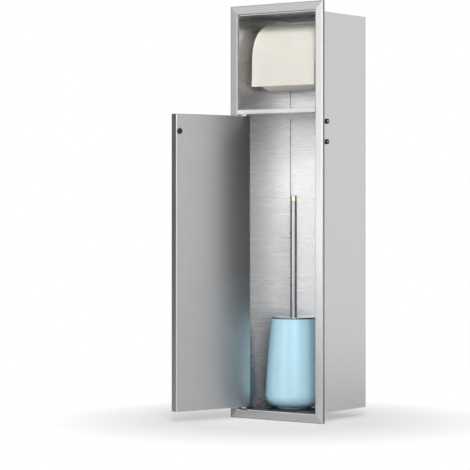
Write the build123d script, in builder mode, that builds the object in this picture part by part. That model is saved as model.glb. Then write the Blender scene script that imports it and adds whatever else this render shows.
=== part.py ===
from build123d import *

import os
from math import cos, radians, sin

os.makedirs("parts", exist_ok=True)

# Recessed toilet roll and brush cabinet of folded stainless sheet.
# Millimetres. X runs to the right, Y into the wall and Z up.
# The wall plane is Y = 0, and Z = 0 is the middle of the lower frame bar.

# Frame and body
frame_width = 178.0
frame_height = 658.0
frame_depth = 5.5
bar_width = 14.5
edge_radius = 2.0
back_hem = 9.5
sheet = 1.2
body_depth = 142.5
body_lap = 2.5
bend_radius = 2.0
niche_height = 150.0
shelf_lip = 8.0
shelf_return = 16.0
shelf_rear_flange = 10.0
shelf_lip_radius = 1.0

# Door, drawn standing open
open_angle = 108.0
door_thickness = 14.0
door_edge_radius = 1.5
door_panel_rim = 3.0
gap_hinge_side = 2.3
gap_free_side = 1.3
gap_above_door = 2.0
gap_below_door = 2.3
pivot_inset = 6.0
pivot_depth = 6.0

# Pivot hinges
hinge_plate_length = 26.0
hinge_plate_width = 11.0
hinge_plate_thickness = 1.5
hinge_plate_margin = 2.0
hinge_plate_corner = 2.7
pin_diameter = 4.0
pin_length = 12.0
pin_hole_clearance = 0.75
bush_wall = 1.5
bush_length = 9.0
block_length = 17.0
block_height = 16.0
block_chamfer = 0.6
running_clearance = 0.1
hinge_screw_inset = 6.0
hinge_screw_head = 5.5
hinge_screw_shank = 3.0
hinge_screw_length = 5.0

# Push latch on the right wall and its striker on the door
latch_height_below_shelf = 29.0
latch_screw_pitch = 32.0
latch_screw_depth = 31.0
latch_screw_head = 8.0
latch_screw_head_height = 4.0
latch_screw_head_radius = 0.5
latch_screw_shank = 4.0
latch_screw_length = 7.0
hex_socket = 3.0
hex_socket_depth = 2.2
latch_plate_height = 46.0
latch_plate_width = 14.0
latch_plate_thickness = 2.5
latch_plate_corner = 3.5
latch_tube_diameter = 9.6
latch_web_width = 6.8
latch_tube_length = 46.0
latch_tube_end = 2.0
plunger_diameter = 5.0
plunger_length = 32.0
plunger_reach = 4.0
plunger_gap = 0.3
magnet_diameter = 3.6
magnet_length = 3.0
latch_spring_diameter = 4.6
latch_spring_wall = 0.7
latch_spring_gap = 0.2
striker_diameter = 9.4
striker_height = 1.2
striker_chamfer = 0.3
striker_edge_distance = 6.2
striker_screw_diameter = 3.5
striker_screw_length = 4.5

# Roll, its sheet and its spindle
roll_diameter = 107.0
roll_gap_left = 14.3
roll_gap_right = 11.9
roll_depth_to_front = 13.0
roll_centre_above_shelf = 85.4
core_inner_diameter = 40.0
core_wall = 1.2
tail_length = 48.5
tail_thickness = 0.4
tail_gap = 0.3
spindle_diameter = 19.0
spindle_inner_diameter = 15.0
spindle_wall = 1.5
spindle_end_diameter = 9.0
spindle_end_chamfer = 1.0
spindle_overlap = 34.0
spindle_split = 12.0
spindle_spring_room = 12.0
spindle_play = 0.3
socket_diameter = 22.0
socket_length = 8.0
socket_floor = 1.5
socket_edge_radius = 0.7
socket_clearance = 0.3
socket_screw_diameter = 3.5
spindle_spring_diameter = 11.0
spindle_spring_wall = 1.0

# Toilet brush and its cup
cup_x = -7.3
cup_depth = 56.0
cup_height = 142.7
cup_rim_radius = 36.5
cup_middle_radius = 42.3
cup_middle_height = 76.0
cup_belly_radius = 46.1
cup_belly_height = 20.0
cup_base_radius = 30.0
foot_radius = 26.2
foot_height = 2.3
foot_recess = 1.0
cup_wall = 3.0
lid_thickness = 2.4
lid_edge_radius = 0.8
handle_diameter = 10.0
handle_top_height = 339.5
cap_height = 8.4
cap_edge_radius = 0.8
collar_diameter = 22.0
collar_length = 12.0
brush_gap = 0.3
brush_head_diameter = 62.0
brush_head_length = 78.0
brush_head_edge_radius = 10.0
handle_in_head = 39.0

# Places worked out from the sizes above
front_y = -frame_depth
opening_width = frame_width - 2 * bar_width
inner_width = opening_width - 2 * sheet
inner_x = inner_width / 2
base_z = -bar_width / 2
top_z = base_z + frame_height
body_bottom_z = base_z + bar_width
body_top_z = top_z - bar_width
floor_z = body_bottom_z + sheet
ceiling_z = body_top_z - sheet
back_y = body_depth - sheet
shelf_top_z = ceiling_z - niche_height
shelf_bottom_z = shelf_top_z - shelf_lip

door_width = inner_width - gap_hinge_side - gap_free_side
door_bottom_z = floor_z + gap_below_door
door_top_z = shelf_bottom_z - gap_above_door
door_height = door_top_z - door_bottom_z
pivot_x = -inner_x + gap_hinge_side + pivot_inset
pivot_y = front_y + pivot_depth

# In the door's own plan, x runs from the pivot to the free edge and y to the inner face.
door_start = -pivot_inset
door_end = door_width - pivot_inset
door_front = -pivot_depth
door_back = door_thickness - pivot_depth
door_x_dir = (cos(radians(open_angle)), -sin(radians(open_angle)), 0)
door_y_dir = (sin(radians(open_angle)), cos(radians(open_angle)), 0)


def door_level(z):
    """The plan plane of the open door at height z, with the pivot as its origin."""
    return Plane(origin=(pivot_x, pivot_y, z), x_dir=door_x_dir, z_dir=(0, 0, 1))


def door_inner_face(x, z, lift=0.0):
    """A plane on the door's inner face, looking out of it, at x along the door and height z."""
    start = door_level(z).from_local_coords((x, door_back + lift, 0))
    return Plane(origin=start, x_dir=(0, 0, 1), z_dir=door_y_dir)


# Four frame bars, folded channels with mitred ends
bar_places = {
    "frame_left": Plane((-opening_width / 2, front_y, top_z), x_dir=(-1, 0, 0), z_dir=(0, 0, -1)),
    "frame_right": Plane((opening_width / 2, front_y, base_z), x_dir=(1, 0, 0), z_dir=(0, 0, 1)),
    "frame_top": Plane((frame_width / 2, front_y, body_top_z), x_dir=(0, 0, 1), z_dir=(-1, 0, 0)),
    "frame_bottom": Plane((-frame_width / 2, front_y, body_bottom_z), x_dir=(0, 0, -1), z_dir=(1, 0, 0)),
}
bar_lengths = {
    "frame_left": frame_height,
    "frame_right": frame_height,
    "frame_top": frame_width,
    "frame_bottom": frame_width,
}
for bar_name, bar_plane in bar_places.items():
    bar_length = bar_lengths[bar_name]
    mitre_plane = Plane(bar_plane.origin, x_dir=bar_plane.x_dir, z_dir=-bar_plane.y_dir)
    with BuildPart() as frame_bar:
        with BuildSketch(bar_plane):
            Rectangle(bar_width, frame_depth, align=Align.MIN)
            with Locations((sheet, sheet)):
                Rectangle(
                    bar_width - 2 * sheet, frame_depth - 2 * sheet, align=Align.MIN, mode=Mode.SUBTRACT
                )
            with Locations((sheet, sheet)):
                Rectangle(
                    bar_width - back_hem - sheet, frame_depth - sheet, align=Align.MIN, mode=Mode.SUBTRACT
                )
        extrude(amount=bar_length)
        long_edges = frame_bar.edges().filter_by(Axis(bar_plane.origin, bar_plane.z_dir))
        fillet(long_edges.group_by(Axis.Y)[0], edge_radius)
        with BuildSketch(mitre_plane):
            with BuildLine():
                Polyline(
                    (0, bar_width),
                    (bar_width, 0),
                    (bar_width, bar_length),
                    (0, bar_length - bar_width),
                    close=True,
                )
            make_face()
        extrude(amount=2 * frame_depth, both=True, mode=Mode.INTERSECT)
    frame_bar.part.label = bar_name
    export_step(frame_bar.part, f"parts/{bar_name}.step")

# Body sheet, folded to a U: left wall, back and right wall
latch_z = shelf_bottom_z - latch_height_below_shelf
latch_screw_places = [
    (latch_screw_depth - frame_depth, latch_z - latch_screw_pitch / 2),
    (latch_screw_depth - frame_depth, latch_z + latch_screw_pitch / 2),
]
roll_width = inner_width - roll_gap_left - roll_gap_right
roll_offset = (roll_gap_left - roll_gap_right) / 2
roll_y = roll_depth_to_front + roll_diameter / 2
roll_z = shelf_top_z + roll_centre_above_shelf
spindle_y = roll_y
spindle_z = roll_z + core_inner_diameter / 2 - spindle_diameter / 2 - spindle_play
with BuildPart() as body_wrap:
    with BuildSketch(Plane.XY.offset(body_bottom_z)) as wrap_plan:
        with Locations((0, -body_lap)):
            Rectangle(opening_width, body_depth + body_lap, align=(Align.CENTER, Align.MIN))
        fillet(wrap_plan.vertices().group_by(Axis.Y)[-1], bend_radius)
        with BuildSketch(mode=Mode.SUBTRACT) as wrap_inside:
            with Locations((0, -body_lap)):
                Rectangle(inner_width, body_depth + body_lap - sheet, align=(Align.CENTER, Align.MIN))
            fillet(wrap_inside.vertices().group_by(Axis.Y)[-1], bend_radius - sheet)
    extrude(amount=body_top_z - body_bottom_z)
    with BuildSketch(Plane.YZ.offset(inner_x)):
        with Locations(*latch_screw_places):
            Circle(latch_screw_shank / 2 + running_clearance)
    extrude(amount=sheet, mode=Mode.SUBTRACT)
    with BuildSketch(Plane.YZ.offset(inner_x)):
        with Locations((spindle_y, spindle_z)):
            Circle(socket_screw_diameter / 2)
    extrude(amount=sheet, mode=Mode.SUBTRACT)
    with BuildSketch(Plane.YZ.offset(-inner_x)):
        with Locations((spindle_y, spindle_z)):
            Circle(socket_screw_diameter / 2)
    extrude(amount=-sheet, mode=Mode.SUBTRACT)
body_wrap.part.label = "body_wrap"
export_step(body_wrap.part, "parts/body_wrap.step")

# Hinge screws stand in line behind each pivot
hinge_screw_y = pivot_y - pin_diameter / 2 - hinge_plate_margin + hinge_plate_length - hinge_screw_inset

# Top and bottom caps, welded between the walls
for cap_name, cap_z in (("top_cap", ceiling_z), ("bottom_cap", body_bottom_z)):
    with BuildPart() as cap:
        with BuildSketch(Plane.XY.offset(cap_z)) as cap_plan:
            with Locations((0, -body_lap)):
                Rectangle(inner_width, body_depth + body_lap - sheet, align=(Align.CENTER, Align.MIN))
            fillet(cap_plan.vertices().group_by(Axis.Y)[-1], bend_radius - sheet)
            if cap_name == "bottom_cap":
                with Locations((pivot_x, hinge_screw_y)):
                    Circle(hinge_screw_shank / 2, mode=Mode.SUBTRACT)
        extrude(amount=sheet)
    cap.part.label = cap_name
    export_step(cap.part, f"parts/{cap_name}.step")

# Divider shelf: a front lip, a return under it and a rear flange, all in one sheet
shelf_depth = back_y - front_y
with BuildPart() as divider_shelf:
    with BuildSketch(Plane.YZ) as shelf_section:
        with Locations((front_y, shelf_bottom_z)):
            Rectangle(shelf_depth, shelf_lip, align=Align.MIN)
        with Locations((back_y, shelf_top_z - shelf_rear_flange)):
            Rectangle(sheet, shelf_rear_flange, align=(Align.MAX, Align.MIN))
        with Locations((front_y + sheet, shelf_bottom_z + sheet)):
            Rectangle(
                shelf_depth - 2 * sheet, shelf_lip - 2 * sheet, align=Align.MIN, mode=Mode.SUBTRACT
            )
        with Locations((front_y + shelf_return, shelf_bottom_z)):
            Rectangle(
                shelf_depth - shelf_return - sheet, shelf_lip - sheet, align=Align.MIN, mode=Mode.SUBTRACT
            )
    extrude(amount=inner_width / 2, both=True)
    fillet(divider_shelf.edges().filter_by(Axis.Z).group_by(Axis.Y)[-1], bend_radius - sheet)
    with BuildSketch(Plane.YZ):
        with Locations((front_y, shelf_bottom_z)):
            Rectangle(frame_depth - body_lap, shelf_lip, align=Align.MIN)
        with Locations((front_y + sheet, shelf_bottom_z + sheet)):
            Rectangle(frame_depth, shelf_lip - 2 * sheet, align=Align.MIN, mode=Mode.SUBTRACT)
    extrude(amount=opening_width / 2, both=True)
    lip_edges = divider_shelf.edges().filter_by(Axis.X).group_by(Axis.Y)[0]
    fillet(lip_edges, shelf_lip_radius)
    with BuildSketch(Plane.XY.offset(shelf_bottom_z)):
        with Locations((pivot_x, hinge_screw_y)):
            Circle(hinge_screw_shank / 2)
    extrude(amount=sheet, mode=Mode.SUBTRACT)
divider_shelf.part.label = "divider_shelf"
export_step(divider_shelf.part, "parts/divider_shelf.step")

# Hinge plates, each with its pivot pin standing on it
hinge_places = {
    "upper_hinge_plate": (shelf_bottom_z, -1),
    "lower_hinge_plate": (floor_z, 1),
}
for plate_name, (plate_z, way) in hinge_places.items():
    plate_plane = Plane((pivot_x, hinge_screw_y, plate_z), x_dir=(1, 0, 0), z_dir=(0, 0, way))
    plate_y = (hinge_screw_y - pivot_y) * way
    with BuildPart() as hinge_plate:
        with BuildSketch(plate_plane) as plate_plan:
            with Locations((0, hinge_screw_inset * way)):
                Rectangle(
                    hinge_plate_width,
                    hinge_plate_length,
                    align=(Align.CENTER, Align.MAX if way > 0 else Align.MIN),
                )
            fillet(plate_plan.vertices(), hinge_plate_corner)
        extrude(amount=hinge_plate_thickness)
        with BuildSketch(plate_plane.offset(hinge_plate_thickness)):
            with Locations((0, -plate_y)):
                Circle(pin_diameter / 2)
        extrude(amount=pin_length)
        with Locations(plate_plane.offset(hinge_plate_thickness)):
            CounterSinkHole(hinge_screw_shank / 2, hinge_screw_head / 2, hinge_plate_thickness)
    hinge_plate.part.label = plate_name
    export_step(hinge_plate.part, f"parts/{plate_name}.step")

# Countersunk screws of the two hinge plates, through the sheet behind each
with BuildPart() as hinge_screws:
    for plate_z, way in hinge_places.values():
        head_z = plate_z + way * hinge_plate_thickness
        head_plane = Plane((pivot_x, hinge_screw_y, head_z), x_dir=(1, 0, 0), z_dir=(0, 0, -way))
        head_depth = (hinge_screw_head - hinge_screw_shank) / 2
        with BuildSketch(head_plane):
            Circle(hinge_screw_shank / 2)
        extrude(amount=hinge_screw_length)
        with Locations(head_plane.offset(head_depth / 2)):
            Cone(hinge_screw_head / 2, hinge_screw_shank / 2, head_depth)
hinge_screws.part.label = "hinge_screws"
export_step(hinge_screws.part, "parts/hinge_screws.step")

# Door skin: the front tray with its four returns
skin_depth = door_thickness - door_panel_rim
with BuildPart() as door_skin:
    with BuildSketch(door_level(door_bottom_z)):
        with Locations((door_start, door_front)):
            Rectangle(door_width, skin_depth, align=Align.MIN)
    extrude(amount=door_height)
    rear_rim = door_skin.faces().sort_by(Axis(door_level(door_bottom_z).origin, door_y_dir))[-1]
    front_face = door_skin.faces().sort_by(Axis(door_level(door_bottom_z).origin, door_y_dir))[0]
    fillet(front_face.edges(), door_edge_radius)
    offset(amount=-sheet, openings=rear_rim)
    with BuildSketch(door_level(door_bottom_z)):
        Circle(pin_diameter / 2 + pin_hole_clearance)
    extrude(amount=door_height, mode=Mode.SUBTRACT)
door_skin.part.label = "door_skin"
export_step(door_skin.part, "parts/door_skin.step")

# Inner panel of the door: a shallow pan that closes the tray
with BuildPart() as door_inner_panel:
    with BuildSketch(door_level(door_bottom_z)):
        with Locations((door_start, door_back)):
            Rectangle(door_width, door_panel_rim, align=(Align.MIN, Align.MAX))
    extrude(amount=door_height)
    front_rim = door_inner_panel.faces().sort_by(Axis(door_level(door_bottom_z).origin, door_y_dir))[0]
    inner_face = door_inner_panel.faces().sort_by(Axis(door_level(door_bottom_z).origin, door_y_dir))[-1]
    fillet(inner_face.edges(), door_edge_radius)
    offset(amount=-sheet, openings=front_rim)
    with BuildSketch(door_inner_face(door_end - striker_edge_distance, latch_z)):
        Circle(striker_screw_diameter / 2)
    extrude(amount=-sheet, mode=Mode.SUBTRACT)
door_inner_panel.part.label = "door_inner_panel"
export_step(door_inner_panel.part, "parts/door_inner_panel.step")

# Blocks inside the door's hinge corners, and the bushes that turn on the pins
pivot_ends = {
    "upper": (door_top_z - sheet, -1),
    "lower": (door_bottom_z + sheet, 1),
}
bush_radius = pin_diameter / 2 + running_clearance + bush_wall
for end_name, (end_z, way) in pivot_ends.items():
    with BuildPart() as pivot_block:
        with BuildSketch(door_level(end_z)):
            with Locations((door_start + sheet, door_front + sheet)):
                Rectangle(block_length, door_thickness - 2 * sheet, align=Align.MIN)
        extrude(amount=block_height * way)
        chamfer(pivot_block.edges(), block_chamfer)
        with BuildSketch(door_level(end_z)):
            Circle(bush_radius)
        extrude(amount=block_height * way, mode=Mode.SUBTRACT)
    pivot_block.part.label = f"{end_name}_pivot_block"
    export_step(pivot_block.part, f"parts/{end_name}_pivot_block.step")

    with BuildPart() as pivot_bush:
        with BuildSketch(door_level(end_z)):
            Circle(bush_radius)
            Circle(pin_diameter / 2 + running_clearance, mode=Mode.SUBTRACT)
        extrude(amount=bush_length * way)
    pivot_bush.part.label = f"{end_name}_pivot_bush"
    export_step(pivot_bush.part, f"parts/{end_name}_pivot_bush.step")

# Striker on the door's inner face: a dark ring held by one small screw
striker_x = door_end - striker_edge_distance
with BuildPart() as striker_ring:
    with BuildSketch(door_inner_face(striker_x, latch_z)):
        Circle(striker_diameter / 2)
        Circle(striker_screw_diameter / 2, mode=Mode.SUBTRACT)
    extrude(amount=striker_height)
    chamfer(striker_ring.faces().sort_by(Axis((0, 0, 0), door_y_dir))[-1].edges(), striker_chamfer)
striker_ring.part.label = "striker_ring"
export_step(striker_ring.part, "parts/striker_ring.step")

with BuildPart() as striker_screw:
    with BuildSketch(door_inner_face(striker_x, latch_z, striker_height)):
        Circle(striker_screw_diameter / 2)
    extrude(amount=-striker_screw_length)
striker_screw.part.label = "striker_screw"
export_step(striker_screw.part, "parts/striker_screw.step")

# Push latch: a tube along Y carried by a plate on the right wall
latch_x = pivot_x + striker_x
closed_striker_y = pivot_y + door_back + striker_height
plunger_tip_y = closed_striker_y + plunger_gap
latch_tube_y = plunger_tip_y + plunger_reach
latch_axis = Plane((latch_x, latch_tube_y, latch_z), x_dir=(1, 0, 0), z_dir=(0, 1, 0))
with BuildPart() as latch_housing:
    with BuildSketch(Plane.YZ.offset(inner_x - latch_plate_thickness)) as latch_plate_outline:
        with Locations((latch_screw_places[0][0], latch_z)):
            Rectangle(latch_plate_width, latch_plate_height)
        fillet(latch_plate_outline.vertices(), latch_plate_corner)
    extrude(amount=latch_plate_thickness)
    with BuildSketch(latch_axis):
        Circle(latch_tube_diameter / 2)
        Rectangle(inner_x - latch_x, latch_web_width, align=(Align.MIN, Align.CENTER))
    extrude(amount=latch_tube_length)
    with BuildSketch(latch_axis):
        Circle(plunger_diameter / 2 + running_clearance)
    extrude(amount=latch_tube_length - latch_tube_end, mode=Mode.SUBTRACT)
    with BuildSketch(Plane.YZ.offset(inner_x - latch_plate_thickness)):
        with Locations(*latch_screw_places):
            Circle(latch_screw_shank / 2)
    extrude(amount=latch_plate_thickness, mode=Mode.SUBTRACT)
latch_housing.part.label = "latch_housing"
export_step(latch_housing.part, "parts/latch_housing.step")

# Plunger of the latch, with a pocket for the magnet in its tip
plunger_plane = Plane((latch_x, plunger_tip_y, latch_z), x_dir=(1, 0, 0), z_dir=(0, 1, 0))
with BuildPart() as latch_plunger:
    with BuildSketch(plunger_plane):
        Circle(plunger_diameter / 2)
    extrude(amount=plunger_length)
    with BuildSketch(plunger_plane):
        Circle(magnet_diameter / 2)
    extrude(amount=magnet_length, mode=Mode.SUBTRACT)
latch_plunger.part.label = "latch_plunger"
export_step(latch_plunger.part, "parts/latch_plunger.step")

with BuildPart() as latch_magnet:
    with BuildSketch(plunger_plane):
        Circle(magnet_diameter / 2)
    extrude(amount=magnet_length)
latch_magnet.part.label = "latch_magnet"
export_step(latch_magnet.part, "parts/latch_magnet.step")

# Spring between the plunger and the end of the tube
latch_spring_start = plunger_tip_y + plunger_length + latch_spring_gap
latch_spring_end = latch_tube_y + latch_tube_length - latch_tube_end
with BuildPart() as latch_spring:
    with BuildSketch(Plane((latch_x, latch_spring_start, latch_z), x_dir=(1, 0, 0), z_dir=(0, 1, 0))):
        Circle(latch_spring_diameter / 2)
        Circle(latch_spring_diameter / 2 - latch_spring_wall, mode=Mode.SUBTRACT)
    extrude(amount=latch_spring_end - latch_spring_start)
latch_spring.part.label = "latch_spring"
export_step(latch_spring.part, "parts/latch_spring.step")

# Two socket head screws hold the latch from outside
with BuildPart() as latch_screws:
    with BuildSketch(Plane.YZ.offset(opening_width / 2)):
        with Locations(*latch_screw_places):
            Circle(latch_screw_head / 2)
    extrude(amount=latch_screw_head_height)
    head_rims = latch_screws.edges().filter_by(GeomType.CIRCLE).group_by(Axis.X)[-1]
    fillet(head_rims, latch_screw_head_radius)
    with BuildSketch(Plane.YZ.offset(opening_width / 2 + latch_screw_head_height)):
        with Locations(*latch_screw_places):
            RegularPolygon(hex_socket / 2, 6, major_radius=False)
    extrude(amount=-hex_socket_depth, mode=Mode.SUBTRACT)
    with BuildSketch(Plane.YZ.offset(opening_width / 2)):
        with Locations(*latch_screw_places):
            Circle(latch_screw_shank / 2)
    extrude(amount=-latch_screw_length)
latch_screws.part.label = "latch_screws"
export_step(latch_screws.part, "parts/latch_screws.step")

# Sockets that hold the roll spindle, each riveted flush through its wall
spindle_reach = inner_x - socket_floor - socket_clearance
for socket_name, side in (("socket_left", -1), ("socket_right", 1)):
    socket_plane = Plane((side * inner_x, spindle_y, spindle_z), x_dir=(0, 1, 0), z_dir=(-side, 0, 0))
    with BuildPart() as socket:
        with BuildSketch(socket_plane):
            Circle(socket_diameter / 2)
        extrude(amount=socket_length)
        rims = socket.edges().filter_by(GeomType.CIRCLE).sort_by(Axis((0, 0, 0), (-side, 0, 0)))
        fillet(rims[-1], socket_edge_radius)
        with BuildSketch(socket_plane.offset(socket_floor)):
            Circle(spindle_end_diameter / 2 + socket_clearance)
        extrude(amount=socket_length, mode=Mode.SUBTRACT)
        with BuildSketch(socket_plane):
            Circle(socket_screw_diameter / 2)
        extrude(amount=socket_floor, mode=Mode.SUBTRACT)
    socket.part.label = socket_name
    export_step(socket.part, f"parts/{socket_name}.step")

with BuildPart() as socket_screws:
    for side in (-1, 1):
        screw_start = Plane(
            (side * (inner_x - socket_floor), spindle_y, spindle_z), x_dir=(0, 1, 0), z_dir=(side, 0, 0)
        )
        with BuildSketch(screw_start):
            Circle(socket_screw_diameter / 2)
        extrude(amount=socket_floor + sheet)
socket_screws.part.label = "socket_screws"
export_step(socket_screws.part, "parts/socket_screws.step")

# Telescopic spindle: outer tube from the left, inner tube from the right, spring between
shoulder_x = inner_x - socket_length - socket_clearance
spindle_axis = Plane((0, spindle_y, spindle_z), x_dir=(0, 1, 0), z_dir=(1, 0, 0))
with BuildPart() as spindle_outer:
    with BuildSketch(spindle_axis.offset(-shoulder_x)):
        Circle(spindle_diameter / 2)
    extrude(amount=shoulder_x + spindle_split)
    with BuildSketch(spindle_axis.offset(spindle_split - spindle_overlap)):
        Circle(spindle_inner_diameter / 2 + running_clearance)
    extrude(amount=spindle_overlap, mode=Mode.SUBTRACT)
    with BuildSketch(spindle_axis.offset(-spindle_reach)):
        Circle(spindle_end_diameter / 2)
    extrude(amount=spindle_reach - shoulder_x)
    chamfer(spindle_outer.edges().filter_by(GeomType.CIRCLE).sort_by(Axis.X)[0], spindle_end_chamfer)
spindle_outer.part.label = "spindle_outer"
export_step(spindle_outer.part, "parts/spindle_outer.step")

inner_tube_start = spindle_split - spindle_overlap + spindle_spring_room
with BuildPart() as spindle_inner:
    with BuildSketch(spindle_axis.offset(inner_tube_start)):
        Circle(spindle_inner_diameter / 2)
    extrude(amount=shoulder_x - inner_tube_start)
    with BuildSketch(spindle_axis.offset(inner_tube_start)):
        Circle(spindle_inner_diameter / 2 - spindle_wall)
    extrude(amount=shoulder_x - inner_tube_start - spindle_wall, mode=Mode.SUBTRACT)
    with BuildSketch(spindle_axis.offset(shoulder_x)):
        Circle(spindle_end_diameter / 2)
    extrude(amount=spindle_reach - shoulder_x)
    chamfer(spindle_inner.edges().filter_by(GeomType.CIRCLE).sort_by(Axis.X)[-1], spindle_end_chamfer)
spindle_inner.part.label = "spindle_inner"
export_step(spindle_inner.part, "parts/spindle_inner.step")

with BuildPart() as spindle_spring:
    with BuildSketch(spindle_axis.offset(spindle_split - spindle_overlap)):
        Circle(spindle_spring_diameter / 2)
        Circle(spindle_spring_diameter / 2 - spindle_spring_wall, mode=Mode.SUBTRACT)
    extrude(amount=shoulder_x - spindle_wall - spindle_split + spindle_overlap)
spindle_spring.part.label = "spindle_spring"
export_step(spindle_spring.part, "parts/spindle_spring.step")

# Paper roll on its cardboard core, and the loose end that hangs in front
roll_axis = Plane((roll_offset, roll_y, roll_z), x_dir=(0, 1, 0), z_dir=(1, 0, 0))
core_outer_diameter = core_inner_diameter + 2 * core_wall
with BuildPart() as paper_roll:
    with BuildSketch(roll_axis):
        Circle(roll_diameter / 2)
        Circle(core_outer_diameter / 2, mode=Mode.SUBTRACT)
    extrude(amount=roll_width / 2, both=True)
paper_roll.part.label = "paper_roll"
export_step(paper_roll.part, "parts/paper_roll.step")

with BuildPart() as roll_core:
    with BuildSketch(roll_axis):
        Circle(core_outer_diameter / 2)
        Circle(core_inner_diameter / 2, mode=Mode.SUBTRACT)
    extrude(amount=roll_width / 2, both=True)
roll_core.part.label = "roll_core"
export_step(roll_core.part, "parts/roll_core.step")

with BuildPart() as paper_tail:
    with BuildSketch(Plane.XY.offset(roll_z)):
        with Locations((roll_offset, roll_depth_to_front - tail_gap)):
            Rectangle(roll_width, tail_thickness, align=(Align.CENTER, Align.MAX))
    extrude(amount=-tail_length)
paper_tail.part.label = "paper_tail"
export_step(paper_tail.part, "parts/paper_tail.step")

# Brush cup: a turned shell on a low foot
cup_section = Plane((cup_x, cup_depth, floor_z), x_dir=(1, 0, 0), z_dir=(0, -1, 0))
cup_axis = Axis((cup_x, cup_depth, floor_z), (0, 0, 1))
cup_mouth_radius = cup_rim_radius - cup_wall
with BuildPart() as brush_cup:
    with BuildSketch(cup_section):
        with BuildLine() as cup_outline:
            Polyline((0, foot_recess), (foot_radius - cup_wall, foot_recess), (foot_radius - cup_wall, 0))
            Polyline((foot_radius - cup_wall, 0), (foot_radius, 0), (foot_radius, foot_height))
            Line((foot_radius, foot_height), (cup_base_radius, foot_height))
            EllipticalCenterArc(
                (cup_base_radius, cup_belly_height),
                cup_belly_radius - cup_base_radius,
                cup_belly_height - foot_height,
                start_angle=270,
                arc_size=90,
            )
            ThreePointArc(
                (cup_belly_radius, cup_belly_height),
                (cup_middle_radius, cup_middle_height),
                (cup_rim_radius, cup_height),
            )
            Line((cup_rim_radius, cup_height), (cup_mouth_radius, cup_height))
            ThreePointArc(
                (cup_mouth_radius, cup_height),
                (cup_middle_radius - cup_wall, cup_middle_height),
                (cup_belly_radius - cup_wall, cup_belly_height),
            )
            EllipticalCenterArc(
                (cup_base_radius, cup_belly_height),
                cup_belly_radius - cup_base_radius - cup_wall,
                cup_belly_height - foot_height - cup_wall,
                start_angle=270,
                arc_size=90,
            )
            Polyline(
                (cup_base_radius, foot_height + cup_wall), (0, foot_height + cup_wall), (0, foot_recess)
            )
        make_face()
    revolve(axis=cup_axis)
brush_cup.part.label = "brush_cup"
export_step(brush_cup.part, "parts/brush_cup.step")

# Brush: lid, collar, head, handle rod and end cap
lid_z = floor_z + cup_height + brush_gap
brush_centre = (cup_x, cup_depth)
with BuildPart() as brush_lid:
    with BuildSketch(Plane.XY.offset(lid_z)):
        with Locations(brush_centre):
            Circle(cup_rim_radius)
            Circle(handle_diameter / 2, mode=Mode.SUBTRACT)
    extrude(amount=lid_thickness)
    lid_rim = brush_lid.edges().filter_by(GeomType.CIRCLE).group_by(Axis.Z)[-1].sort_by(SortBy.RADIUS)[-1]
    fillet(lid_rim, lid_edge_radius)
brush_lid.part.label = "brush_lid"
export_step(brush_lid.part, "parts/brush_lid.step")

with BuildPart() as brush_collar:
    with BuildSketch(Plane.XY.offset(lid_z - collar_length)):
        with Locations(brush_centre):
            Circle(collar_diameter / 2)
            Circle(handle_diameter / 2, mode=Mode.SUBTRACT)
    extrude(amount=collar_length)
brush_collar.part.label = "brush_collar"
export_step(brush_collar.part, "parts/brush_collar.step")

handle_top_z = floor_z + handle_top_height
head_top_z = lid_z - collar_length
handle_bottom_z = head_top_z - handle_in_head
with BuildPart() as brush_handle:
    with BuildSketch(Plane.XY.offset(handle_bottom_z)):
        with Locations(brush_centre):
            Circle(handle_diameter / 2)
    extrude(amount=handle_top_z - cap_height - handle_bottom_z)
brush_handle.part.label = "brush_handle"
export_step(brush_handle.part, "parts/brush_handle.step")

with BuildPart() as handle_cap:
    with BuildSketch(Plane.XY.offset(handle_top_z - cap_height)):
        with Locations(brush_centre):
            Circle(handle_diameter / 2)
    extrude(amount=cap_height)
    fillet(handle_cap.edges().group_by(Axis.Z)[-1], cap_edge_radius)
handle_cap.part.label = "handle_cap"
export_step(handle_cap.part, "parts/handle_cap.step")

with BuildPart() as brush_head:
    with BuildSketch(Plane.XY.offset(head_top_z - brush_head_length)):
        with Locations(brush_centre):
            Circle(brush_head_diameter / 2)
    extrude(amount=brush_head_length)
    with BuildSketch(Plane.XY.offset(handle_bottom_z)):
        with Locations(brush_centre):
            Circle(handle_diameter / 2)
    extrude(amount=brush_head_length, mode=Mode.SUBTRACT)
    fillet(brush_head.edges().filter_by(GeomType.CIRCLE).group_by(Axis.Z)[0], brush_head_edge_radius)
brush_head.part.label = "brush_head"
export_step(brush_head.part, "parts/brush_head.step")
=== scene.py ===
import math
import random

import bpy
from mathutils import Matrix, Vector, noise


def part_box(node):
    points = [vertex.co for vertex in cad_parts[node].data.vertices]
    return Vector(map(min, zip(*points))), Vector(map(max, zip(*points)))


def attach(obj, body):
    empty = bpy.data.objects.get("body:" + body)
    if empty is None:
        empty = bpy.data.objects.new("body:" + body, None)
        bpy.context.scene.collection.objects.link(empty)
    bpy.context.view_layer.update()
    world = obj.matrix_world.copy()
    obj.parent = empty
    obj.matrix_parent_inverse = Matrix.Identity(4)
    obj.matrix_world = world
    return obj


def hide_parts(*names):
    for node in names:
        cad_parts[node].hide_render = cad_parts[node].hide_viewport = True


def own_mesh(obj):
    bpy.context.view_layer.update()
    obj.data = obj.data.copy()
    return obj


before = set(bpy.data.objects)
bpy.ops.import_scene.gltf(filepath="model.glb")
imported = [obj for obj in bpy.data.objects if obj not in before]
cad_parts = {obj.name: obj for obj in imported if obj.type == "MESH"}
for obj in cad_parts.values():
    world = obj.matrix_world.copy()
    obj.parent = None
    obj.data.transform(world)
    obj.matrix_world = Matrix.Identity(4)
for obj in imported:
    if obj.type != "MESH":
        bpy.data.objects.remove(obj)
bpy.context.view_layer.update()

MM = 0.001
FLOOR_Z = -7.25 * MM


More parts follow.
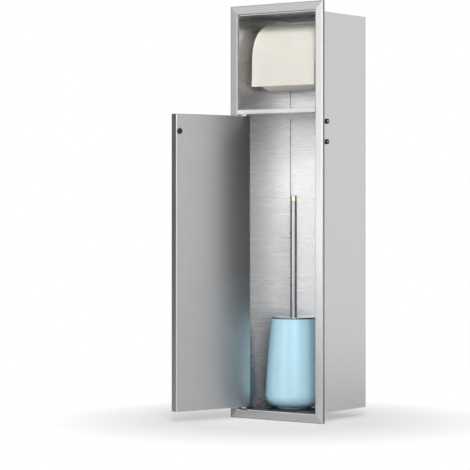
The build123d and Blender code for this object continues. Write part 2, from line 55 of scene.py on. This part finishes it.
# Camera
camera = bpy.data.objects.new("camera", bpy.data.cameras.new("camera"))
bpy.context.collection.objects.link(camera)
camera.location = (1.8366, -2.6188, 0.3268)
camera.rotation_euler = (math.radians(90), 0, math.radians(36.25))
camera.data.sensor_width = 36
camera.data.lens = 155.13
camera.data.shift_y = -0.0557
camera.data.clip_end = 50
bpy.context.scene.camera = camera
bpy.context.scene.view_settings.view_transform = "Standard"


# Node helpers
class Finish:
    """A material with a Principled shader and short calls for the nodes that feed it."""

    def __init__(self, name, color, metallic=0.0, roughness=0.5, **values):
        self.material = bpy.data.materials.new(name)
        self.material.use_nodes = True
        self.nodes = self.material.node_tree.nodes
        self.links = self.material.node_tree.links
        self.shader = self.nodes["Principled BSDF"]
        self.set("Base Color", (*color, 1))
        self.set("Metallic", metallic)
        self.set("Roughness", roughness)
        for key, value in values.items():
            self.set(key.replace("_", " "), value)

    def set(self, socket, value):
        self.shader.inputs[socket].default_value = value

    def add(self, kind, inputs=None, **settings):
        node = self.nodes.new(kind)
        for key, value in settings.items():
            setattr(node, key, value)
        for key, value in (inputs or {}).items():
            if isinstance(value, bpy.types.NodeSocket):
                self.links.new(value, node.inputs[key])
            else:
                node.inputs[key].default_value = value
        return node

    def to(self, output, socket):
        self.links.new(output, self.shader.inputs[socket])

    def place(self, scale):
        """Object coordinates in metres, stretched by scale."""
        where = self.add("ShaderNodeTexCoord").outputs["Object"]
        return self.add("ShaderNodeMapping", {"Vector": where, "Scale": scale}).outputs["Vector"]

    def noise(self, scale, detail=2.0, roughness=0.5):
        inputs = {"Vector": self.place(scale), "Scale": 1.0, "Detail": detail, "Roughness": roughness}
        return self.add("ShaderNodeTexNoise", inputs).outputs["Fac"]

    def spread(self, value, low, high, start=0.3, end=0.7):
        """Maps value, between start and end, to low and high."""
        inputs = {"Value": value, "From Min": start, "From Max": end, "To Min": low, "To Max": high}
        return self.add("ShaderNodeMapRange", inputs).outputs["Result"]

    def math(self, operation, first, second):
        return self.add("ShaderNodeMath", {0: first, 1: second}, operation=operation).outputs[0]

    def blend(self, factor, first, second):
        """Mixes two colours by factor."""
        node = self.add("ShaderNodeMix", {"Factor": factor}, data_type="RGBA")
        for index, value in ((6, first), (7, second)):
            if isinstance(value, bpy.types.NodeSocket):
                self.links.new(value, node.inputs[index])
            else:
                node.inputs[index].default_value = (*value, 1)
        return node.outputs[2]

    def coordinate(self, axis):
        where = self.add("ShaderNodeTexCoord").outputs["Object"]
        return self.add("ShaderNodeSeparateXYZ", {0: where}).outputs[axis]

    def outside(self, low, high):
        """1 where a point in object coordinates lies outside a box, else 0."""
        where = self.add("ShaderNodeTexCoord").outputs["Object"]
        middle = [(a + b) / 2 for a, b in zip(low, high)]
        half = [(b - a) / 2 for a, b in zip(low, high)]
        shifted = self.add("ShaderNodeVectorMath", {0: where, 1: middle}, operation="SUBTRACT").outputs[0]
        size = self.add("ShaderNodeVectorMath", {0: shifted}, operation="ABSOLUTE").outputs[0]
        axes = self.add("ShaderNodeSeparateXYZ", {0: size}).outputs
        over = [self.math("GREATER_THAN", axes[i], half[i]) for i in range(3)]
        return self.math("MAXIMUM", self.math("MAXIMUM", over[0], over[1]), over[2])

    def bump(self, height, distance, strength=1.0):
        node = self.add("ShaderNodeBump", {"Height": height, "Distance": distance, "Strength": strength})
        self.to(node.outputs["Normal"], "Normal")


def tinted(color, factor):
    return tuple(min(1.0, c * factor) for c in color)


def brushed(name, color, roughness=0.27, grain="level", contrast=1.0, anisotropy=0.6, painted_shade=None, corner_shade=None):
    """Brushed stainless steel. The grain runs level or upright, and glints stretch square to it.

    Outside the given box the sheet carries painted shade: it is darker by the factor that the box ends with.
    A narrow painted shadow line fills the inner upright corners beyond the given half width and depth.
    """
    fine, streak, cloud = {
        "level": ((9, 9, 2200), (12, 12, 700), (3, 3, 40)),
        "upright": ((2200, 2200, 9), (700, 700, 12), (40, 40, 3)),
    }[grain]
    glint = {"level": (0.0, 0.02, 1.0), "upright": (1.0, 0.02, 0.0)}[grain]
    m = Finish(name, color, 1.0, roughness, Anisotropic=anisotropy)
    fine_grain = m.noise(fine, 3.0, 0.6)
    streaks = m.noise(streak, 2.0)
    clouds = m.noise(cloud, 2.0)
    both = m.math("ADD", m.math("MULTIPLY", fine_grain, 0.6), m.math("MULTIPLY", streaks, 0.4))
    tone = m.blend(
        m.spread(both, 0.0, 1.0),
        tinted(color, 1 - 0.05 * contrast),
        tinted(color, 1 + 0.05 * contrast),
    )
    # Painted shadow line: a dark strip painted into the inner upright corners, where shade falls.
    if corner_shade:
        across = m.math("GREATER_THAN", m.math("ABSOLUTE", m.coordinate("X"), 0.0), corner_shade[0])
        corner = m.math("MULTIPLY", across, m.math("GREATER_THAN", m.coordinate("Y"), corner_shade[1]))
        far_x, far_y = corner_shade[0] + CORNER_SHADE_WIDTH, corner_shade[1] + CORNER_SHADE_WIDTH
        beyond = m.outside((-far_x, -1.0, -1.0), (far_x, far_y, 1.0))
        corner = m.math("MULTIPLY", corner, m.math("SUBTRACT", 1.0, beyond))
        tone = m.blend(corner, tone, tinted(color, CORNER_SHADE_TONE))
    # Painted shade: outside the given box the sheet is darkened by the given factor.
    if painted_shade:
        low, high, factor = painted_shade
        tone = m.blend(m.outside(low, high), tone, tinted(color, factor))
    m.to(tone, "Base Color")
    rough = m.math(
        "ADD",
        m.spread(both, roughness - 0.03 * contrast, roughness + 0.03 * contrast),
        m.spread(clouds, -0.02 * contrast, 0.02 * contrast),
    )
    m.to(rough, "Roughness")
    m.bump(both, 0.000003 * contrast, 0.5)
    tangent = m.add("ShaderNodeCombineXYZ", {"X": glint[0], "Y": glint[1], "Z": glint[2]})
    m.to(tangent.outputs[0], "Tangent")
    return m.material


def polished(name, color, roughness, grain=(300, 300, 40)):
    """Plated or turned metal with faint turning marks and handling marks."""
    m = Finish(name, color, 1.0, roughness)
    marks = m.noise(grain, 3.0, 0.6)
    smears = m.noise((60, 60, 25), 3.0)
    m.to(m.blend(m.spread(smears, 0.0, 1.0), tinted(color, 0.96), tinted(color, 1.02)), "Base Color")
    smeared = m.spread(smears, roughness * 0.8, roughness * 1.3)
    m.to(m.math("ADD", smeared, m.spread(marks, 0.0, 0.02)), "Roughness")
    m.bump(marks, 0.000004, 0.5)
    return m.material


def moulded(name, color, roughness, grain=1800, **values):
    """Moulded plastic: a fine spark-eroded skin and slight unevenness of tone."""
    m = Finish(name, color, 0.0, roughness, **values)
    skin = m.noise((grain, grain, grain), 2.0)
    tone = m.noise((35, 35, 35), 2.0)
    m.to(m.blend(m.spread(tone, 0.0, 1.0), tinted(color, 0.97), tinted(color, 1.03)), "Base Color")
    m.to(m.spread(skin, roughness - 0.04, roughness + 0.05), "Roughness")
    m.bump(skin, 0.00002, 0.35)
    return m.material


def tissue_paper(name, color):
    """Soft crepe tissue: short level crimps, a woven fibre grain and a little light through it."""
    m = Finish(name, color, 0.0, 0.95, Subsurface_Weight=0.15, Subsurface_Scale=0.002)
    crimps = m.noise((160, 900, 900), 3.0, 0.6)
    fibres = m.noise((1400, 1400, 1400), 4.0, 0.7)
    clouds = m.noise((30, 30, 30), 3.0)
    m.to(m.blend(m.spread(clouds, 0.0, 1.0), tinted(color, 0.975), tinted(color, 1.02)), "Base Color")
    height = m.math("ADD", m.math("MULTIPLY", crimps, 0.6), m.math("MULTIPLY", fibres, 0.4))
    m.bump(height, 0.00012, 0.6)
    return m.material


def board(name, color):
    """Grey-brown cardboard with short upright fibres."""
    m = Finish(name, color, 0.0, 0.9)
    fibres = m.noise((700, 700, 120), 4.0, 0.7)
    m.to(m.blend(m.spread(fibres, 0.0, 1.0), tinted(color, 0.8), tinted(color, 1.15)), "Base Color")
    m.bump(fibres, 0.00005, 0.5)
    return m.material


# Finishes. Several greys stand in for light that the lamps don't give: painted light and shade.
SKIN = 0.3 * MM
# Width, start and darkness of the painted shadow line in the body's inner corners.
CORNER_SHADE_WIDTH = 1.0 * MM
CORNER_SHADE_START = 0.7 * MM
CORNER_SHADE_TONE = 0.25
# Painted shade: the body's outside is darker than its inside by this factor.
OUTER_SHADE_TONE = 0.80
# Painted shade: the frame bars' edges and sides are darker than their fronts by this factor.
BAR_EDGE_SHADE_TONE = 0.40

body_low, body_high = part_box("body_wrap")
cap_low, cap_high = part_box("bottom_cap")[0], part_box("top_cap")[1]
inside_low = (body_low[0] + SKIN, body_low[1] - SKIN, cap_low[2] + SKIN)
inside_high = (body_high[0] - SKIN, body_high[1] - SKIN, cap_high[2] - SKIN)
# Where the painted shadow line in the inner upright corners begins.
corner_shade_line = (cap_high[0] - CORNER_SHADE_START, cap_high[1] - CORNER_SHADE_START)


def frame_bar(name, tone, grain):
    """A bar of the front frame: its edges and sides carry painted shade, darker than its front face."""
    low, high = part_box(name)
    front = (low[0] + SKIN, low[1] - SKIN, low[2] + SKIN)
    back = (high[0] - SKIN, high[1] + SKIN, high[2] - SKIN)
    return brushed(name, (tone, tone, tone + 0.005), grain=grain, painted_shade=(front, back, BAR_EDGE_SHADE_TONE))


finishes = {
    "steel_body": brushed(
        "steel_body",
        (0.74, 0.74, 0.745),
        contrast=0.35,
        painted_shade=(inside_low, inside_high, OUTER_SHADE_TONE),
        corner_shade=corner_shade_line,
    ),
    # The cabinet floor is painted nearly black: painted shade.
    "bottom_cap": brushed("bottom_cap", (0.12, 0.12, 0.125), contrast=0.35),
    "steel_shelf": brushed("steel_shelf", (0.72, 0.72, 0.725), contrast=0.5),
    # Each frame bar has its own grey: painted light and shade, lighter and darker copies of one steel.
    "frame_top": frame_bar("frame_top", 0.55, "level"),
    "frame_bottom": frame_bar("frame_bottom", 0.46, "level"),
    "frame_left": frame_bar("frame_left", 0.40, "upright"),
    "frame_right": frame_bar("frame_right", 0.64, "upright"),
    "steel_door": brushed("steel_door", (0.525, 0.525, 0.53), roughness=0.38),
    "bright_steel": polished("bright_steel", (0.80, 0.80, 0.81), 0.14),
    "screw_pins": polished("screw_pins", (0.92, 0.92, 0.92), 0.45),
    "spring_steel": polished("spring_steel", (0.45, 0.45, 0.46), 0.25),
    "dark_screw": polished("dark_screw", (0.035, 0.035, 0.038), 0.30),
    "black_nylon": moulded("black_nylon", (0.02, 0.02, 0.02), 0.5),
    "black_plastic": moulded("black_plastic", (0.015, 0.015, 0.016), 0.38),
    "grey_plastic": moulded("grey_plastic", (0.25, 0.25, 0.26), 0.45),
    "white_plastic": moulded("white_plastic", (0.82, 0.82, 0.81), 0.3),
    "brass_bush": polished("brass_bush", (0.75, 0.55, 0.28), 0.25),
    "brass_cap": polished("brass_cap", (0.80, 0.70, 0.48), 0.15),
    "handle_chrome": polished("handle_chrome", (0.46, 0.47, 0.49), 0.10),
    "dark_chrome": polished("dark_chrome", (0.20, 0.21, 0.23), 0.12),
    "blue_cup": moulded(
        "blue_cup",
        (0.46, 0.75, 0.88),
        0.36,
        grain=2200,
        Specular_IOR_Level=0.8,
        Coat_Weight=0.8,
        Coat_Roughness=0.3,
    ),
    "tissue": tissue_paper("tissue", (0.86, 0.83, 0.76)),
    "core_board": board("core_board", (0.55, 0.45, 0.33)),
    "bristle": moulded("bristle", (0.80, 0.81, 0.82), 0.4),
}

for node_name, node_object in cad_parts.items():
    for material_slot in node_object.material_slots:
        slot_name = material_slot.material.name.split(".")[0]
        material_slot.material = finishes[node_name if node_name in finishes else slot_name]


# Pieces
def piece(name, vertices, faces, slot, body, instead_of=None):
    """A smooth mesh piece that rides on a body. It has a finish of its own name, or else its slot's."""
    mesh = bpy.data.meshes.new(name)
    mesh.from_pydata(vertices, [], faces)
    mesh.materials.append(finishes.get(name, finishes[slot]))
    mesh.polygons.foreach_set("use_smooth", [True] * len(mesh.polygons))
    mesh.update()
    obj = bpy.data.objects.new(name, mesh)
    bpy.context.collection.objects.link(obj)
    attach(obj, body)
    if instead_of:
        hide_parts(instead_of)
    return obj


def grid_faces(rows, columns, closed_rows=False, closed_columns=False, first=0):
    """Faces between the vertices of a grid that is listed row by row."""
    faces = []
    for row in range(rows if closed_rows else rows - 1):
        for column in range(columns if closed_columns else columns - 1):
            below = (row + 1) % rows
            beside = (column + 1) % columns
            corners = ((row, column), (row, beside), (below, beside), (below, column))
            faces.append([first + r * columns + c for r, c in corners])
    return faces


def node_box(name):
    low, high = (Vector(corner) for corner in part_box(name))
    return low, high, (low + high) / 2, high - low


def wobble(x, y, z, scale):
    """Smooth noise from -1 to 1."""
    return noise.noise(Vector((x, y, z)) * scale)


def wound_roll():
    """The paper roll: a spiral of soft layers at both ends and a slightly uneven outside."""
    centre, size = node_box("paper_roll")[2:]
    outer = size.z / 2
    inner = node_box("roll_core")[3].z / 2
    layer_pitch = 1.3 * MM
    layer_depth = 0.35 * MM
    edge = 0.9 * MM
    sag = 0.35 * MM
    around, across, along, bend = 132, 74, 26, 4
    rng = random.Random(7)
    offsets = [rng.uniform(0.0, 1.0) for _ in range(64)]

    def end_depth(radius, angle):
        turn = (radius - inner) / layer_pitch + angle / math.tau
        layer, within = int(turn), turn % 1.0
        step = offsets[layer] * 0.6 + 0.4 * (1 - math.sin(math.pi * within))
        return layer_depth * step

    path = []
    for i in range(across):
        path.append(("end", inner + (outer - edge - inner) * i / (across - 1)))
    for i in range(1, bend):
        path.append(("bend", math.pi / 2 * i / bend))
    vertices = []
    half = size.x / 2
    rows = 0
    for side in (-1, 1):
        steps = path if side < 0 else path[::-1]
        for kind, value in steps:
            for k in range(around):
                angle = math.tau * k / around
                if kind == "end":
                    radius, at = value, half - end_depth(value, angle)
                else:
                    radius = outer - edge + edge * math.sin(value)
                    at = half - edge + edge * math.cos(value)
                vertices.append((
                    centre.x + side * at,
                    centre.y - radius * math.cos(angle),
                    centre.z + radius * math.sin(angle),
                ))
            rows += 1
        if side < 0:
            for i in range(along + 1):
                x = (half - edge) * (2 * i / along - 1)
                for k in range(around):
                    angle = math.tau * k / around
                    y, z = -math.cos(angle), math.sin(angle)
                    radius = outer - sag * (0.5 + 0.5 * wobble(x * 12, y * 1.6, z * 1.6, 1.0))
                    vertices.append((centre.x + x, centre.y + radius * y, centre.z + radius * z))
                rows += 1
    faces = grid_faces(rows, around, closed_rows=True, closed_columns=True)
    piece("wound_roll", vertices, faces, "tissue", "roll", "paper_roll")


def hanging_tail():
    """The loose end of the paper: it hangs from the front of the roll down to a torn edge."""
    low, high, centre, size = node_box("paper_tail")
    columns, rows = 121, 40
    curl = 0.9 * MM
    ripple = 0.35 * MM
    tooth = 0.22 * MM
    vertices = []
    for row in range(rows):
        down = row / (rows - 1)
        for column in range(columns):
            x = low.x + size.x * column / (columns - 1)
            y = centre.y - curl * down**3 + ripple * down * wobble(x, 0.0, down * 0.03, 60.0)
            z = high.z - size.z * down
            if row == rows - 1:
                z += tooth * (column % 2)
            vertices.append((x, y, z))
    tail = piece("hanging_tail", vertices, grid_faces(rows, columns), "tissue", "roll_tail", "paper_tail")


def tube_along(points, radius, sides):
    """Vertices and faces of a round tube that follows a list of points, with closed ends."""
    vertices, faces = [], []
    for i, point in enumerate(points):
        before, after = points[max(i - 1, 0)], points[min(i + 1, len(points) - 1)]
        forward = (after - before).normalized()
        side = forward.orthogonal() if i == 0 else side - forward * side.dot(forward)
        side.normalize()
        up = forward.cross(side)
        for k in range(sides):
            angle = math.tau * k / sides
            vertices.append(point + radius * (math.cos(angle) * side + math.sin(angle) * up))
    faces = grid_faces(len(points), sides, closed_columns=True)
    faces.append(list(range(sides))[::-1])
    faces.append([len(vertices) - sides + k for k in range(sides)])
    return vertices, faces


def wound_spring(name, node, axis, wire, turns, anchored_high):
    """A compression spring with closed end turns."""
    low, high, centre, size = node_box(node)
    length = size[axis]
    cross = [i for i in range(3) if i != axis]
    radius = size[cross[0]] / 2 - wire / 2
    closed_turns = 1.5
    steps = int(22 * (turns + 2 * closed_turns))
    points = []
    for i in range(steps + 1):
        turn = (turns + 2 * closed_turns) * i / steps
        open_share = min(max((turn - closed_turns) / turns, 0.0), 1.0)
        closed = min(turn, closed_turns) + max(turn - closed_turns - turns, 0.0)
        run = wire * closed + (length - wire * (1 + 2 * closed_turns)) * open_share
        point = Vector()
        point[axis] = low[axis] + wire / 2 + run
        point[cross[0]] = centre[cross[0]] + radius * math.cos(math.tau * turn)
        point[cross[1]] = centre[cross[1]] + radius * math.sin(math.tau * turn)
        points.append(point)
    vertices, faces = tube_along(points, wire / 2, 7)
    spring = piece(name, vertices, faces, "spring_steel", "cabinet", node)
    direction, anchor = Vector(), Vector(centre)
    direction[axis] = 1.0
    anchor[axis] = high[axis] if anchored_high else low[axis]
    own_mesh(spring)


def bristled_head():
    """The brush head: a ribbed stem with rows of tapered bristles, rounder towards its lower end."""
    low, high, centre, size = node_box("brush_head")
    outer = size.x / 2
    stem = 8.5 * MM
    rows, per_row = 24, 44
    thickness = 0.45 * MM
    droop = 2.2 * MM
    rng = random.Random(11)
    vertices, faces = [], []
    rings = 2 * rows + 2
    around = 32
    for i in range(rings):
        z = low.z + size.z * 0.13 + (size.z * 0.87) * i / (rings - 1)
        radius = stem * (0.88 if i % 2 else 1.0)
        for k in range(around):
            angle = math.tau * k / around
            vertices.append((centre.x + radius * math.cos(angle), centre.y + radius * math.sin(angle), z))
    faces += grid_faces(rings, around, closed_columns=True)
    faces.append(list(range(around))[::-1])
    faces.append([len(vertices) - around + k for k in range(around)])
    for row in range(rows):
        height = (row + 0.5) / rows
        reach = outer * (1 - 0.32 * (1 - min(height / 0.24, 1.0)) ** 2) - thickness
        z = low.z + size.z * (0.14 + 0.80 * height)
        lean = (0.5 - height) * 0.16
        for k in range(per_row):
            angle = math.tau * (k + 0.5 * (row % 2) + rng.uniform(-0.22, 0.22)) / per_row
            tip = reach - rng.uniform(0, 1.6) * MM
            out = Vector((math.cos(angle), math.sin(angle), 0))
            sideways = Vector((-out.y, out.x, 0))
            first = len(vertices)
            for share, width in ((0.0, 1.0), (0.55, 0.9), (1.0, 0.55)):
                radius = stem * 0.8 + (tip - stem * 0.8) * share
                drop = -droop * share**2 - lean * (radius - stem)
                middle = Vector((centre.x, centre.y, z + drop)) + radius * out
                for corner in range(3):
                    turn = math.tau * corner / 3
                    offset = math.cos(turn) * sideways + math.sin(turn) * Vector((0, 0, 1))
                    vertices.append(middle + thickness * width * offset)
            faces += grid_faces(3, 3, closed_columns=True, first=first)
            faces.append([first + 6, first + 7, first + 8])
    piece("bristled_head", vertices, faces, "bristle", "brush", "brush_head")


def screw_pins():
    """The bright pins in the sockets of the two dark side screws."""
    low, high, centre, size = node_box("latch_screws")
    head = size.y / 2
    pin = 1.15 * MM
    dome = 0.35 * MM
    depth = 2.2 * MM
    around = 24
    vertices, faces = [], []
    profile = ((-depth, pin), (-dome, pin), (-0.35 * dome, pin * 0.85), (0.0, pin * 0.5), (0.0, pin * 0.1))
    for z in (low.z + head, high.z - head):
        first = len(vertices)
        for x, radius in profile:
            for k in range(around):
                angle = math.tau * k / around
                y = centre.y + radius * math.cos(angle)
                vertices.append((high.x + x, y, z + radius * math.sin(angle)))
        faces += grid_faces(len(profile), around, closed_columns=True, first=first)
        faces.append([len(vertices) - around + k for k in range(around)])
    piece("screw_pins", vertices, faces, "bright_steel", "cabinet")


wound_roll()
hanging_tail()
bristled_head()
screw_pins()
wound_spring("latch_coil", "latch_spring", 1, 0.5 * MM, 9, True)
wound_spring("spindle_coil", "spindle_spring", 0, 1.0 * MM, 17, False)


# Stage: floor, world, lights and cards
def white_behind(finish, shader_output, camera_share, mirror_share):
    """Mixes plain white into what the camera and mirrors see of a shader, each by its own share."""
    path = finish.add("ShaderNodeLightPath").outputs
    mirrored = finish.math("MAXIMUM", path["Is Glossy Ray"], path["Is Transmission Ray"])
    seen = finish.math("MULTIPLY", path["Is Camera Ray"], camera_share)
    amount = finish.math("ADD", seen, finish.math("MULTIPLY", mirrored, mirror_share))
    white = finish.add("ShaderNodeEmission", {"Color": (1, 1, 1, 1)})
    mix = finish.add("ShaderNodeMixShader", {0: amount, 1: shader_output, 2: white.outputs[0]})
    return mix.outputs[0]


# The floor fades to white with distance. Mirrors see it darker in front of the wall than behind it.
floor_finish = Finish("floor", (0.88, 0.88, 0.88), 0.0, 0.9)
where = floor_finish.add("ShaderNodeTexCoord").outputs["Object"]
away = floor_finish.add("ShaderNodeVectorMath", {0: where}, operation="LENGTH").outputs["Value"]
depth = floor_finish.add("ShaderNodeSeparateXYZ", {0: where}).outputs["Y"]
camera_share = floor_finish.spread(away, 0.45, 1.0, 0.14, 0.36)
behind = floor_finish.spread(depth, 0.0, 1.0, -0.4, 0.5)
front_share = floor_finish.spread(away, 0.0, 0.9, 2.2, 5.0)
rear_share = floor_finish.spread(away, 0.3, 1.0, 0.3, 1.5)
rear_part = floor_finish.math("MULTIPLY", behind, rear_share)
front_part = floor_finish.math("MULTIPLY", floor_finish.math("SUBTRACT", 1.0, behind), front_share)
mirror_share = floor_finish.math("ADD", rear_part, front_part)
floor_output = white_behind(floor_finish, floor_finish.shader.outputs[0], camera_share, mirror_share)
floor_finish.links.new(floor_output, floor_finish.nodes["Material Output"].inputs["Surface"])
bpy.ops.mesh.primitive_plane_add(size=24, location=(0, 0, FLOOR_Z))
floor = bpy.context.object
floor.name = "floor"
floor.data.materials.append(floor_finish.material)


class Sky(Finish):
    """The world's node tree, with the same short calls."""

    def __init__(self, strength):
        self.world = bpy.data.worlds.new("world")
        self.world.use_nodes = True
        self.nodes = self.world.node_tree.nodes
        self.links = self.world.node_tree.links
        self.background = self.nodes["Background"]
        self.background.inputs["Color"].default_value = (1, 1, 1, 1)
        self.background.inputs["Strength"].default_value = strength


sky = Sky(0.15)
sky_output = white_behind(sky, sky.background.outputs[0], 1.0, 1.0)
sky.links.new(sky_output, sky.nodes["World Output"].inputs["Surface"])
bpy.context.scene.world = sky.world


def direction(azimuth, elevation):
    """Azimuth 0 is in front of the wall, 90 at its right and 180 behind it."""
    a, e = math.radians(azimuth), math.radians(elevation)
    return Vector((math.sin(a) * math.cos(e), -math.cos(a) * math.cos(e), math.sin(e)))


AIM = Vector((0, 0.05, 0.3))


def softbox(name, azimuth, elevation, distance, size, power):
    """A rectangular lamp that faces the cabinet."""
    data = bpy.data.lights.new(name, "AREA")
    data.shape = "RECTANGLE"
    data.size, data.size_y = size
    data.energy = power
    lamp = bpy.data.objects.new(name, data)
    bpy.context.collection.objects.link(lamp)
    lamp.location = AIM + distance * direction(azimuth, elevation)
    lamp.rotation_euler = direction(azimuth, elevation).to_track_quat("Z", "Y").to_euler()


def card(name, azimuth, elevation, distance, size, grey):
    """A card in a plain grey that faces the cabinet and is seen only in reflections."""
    finish = Finish(name, (0, 0, 0))
    glow = finish.add("ShaderNodeEmission", {"Color": (grey, grey, grey, 1)})
    finish.links.new(glow.outputs[0], finish.nodes["Material Output"].inputs["Surface"])
    bpy.ops.mesh.primitive_plane_add(size=1, location=AIM + distance * direction(azimuth, elevation))
    obj = bpy.context.object
    obj.name = name
    obj.scale = (*size, 1)
    obj.rotation_euler = direction(azimuth, elevation).to_track_quat("Z", "Y").to_euler()
    obj.data.materials.append(finish.material)
    obj.visible_camera = obj.visible_diffuse = obj.visible_shadow = False


softbox("key", 38, 32, 3.5, (1.0, 1.0), 72)
softbox("lower_key", 38, 18, 3.5, (0.7, 0.5), 4)
softbox("wide", 36, 3, 3.5, (1.4, 0.6), 2.0)
softbox("low", 42, 5, 3.5, (0.6, 0.5), 2.4)
softbox("left", -10, 6, 3.5, (1.5, 1.3), 9)
softbox("glint", -36, -2, 2.0, (0.25, 0.30), 0.4)

card("card_left", -92, 8, 1.6, (2.4, 2.0), 0.13)
card("card_top", 0, 90, 3.6, (6.0, 6.0), 0.6)
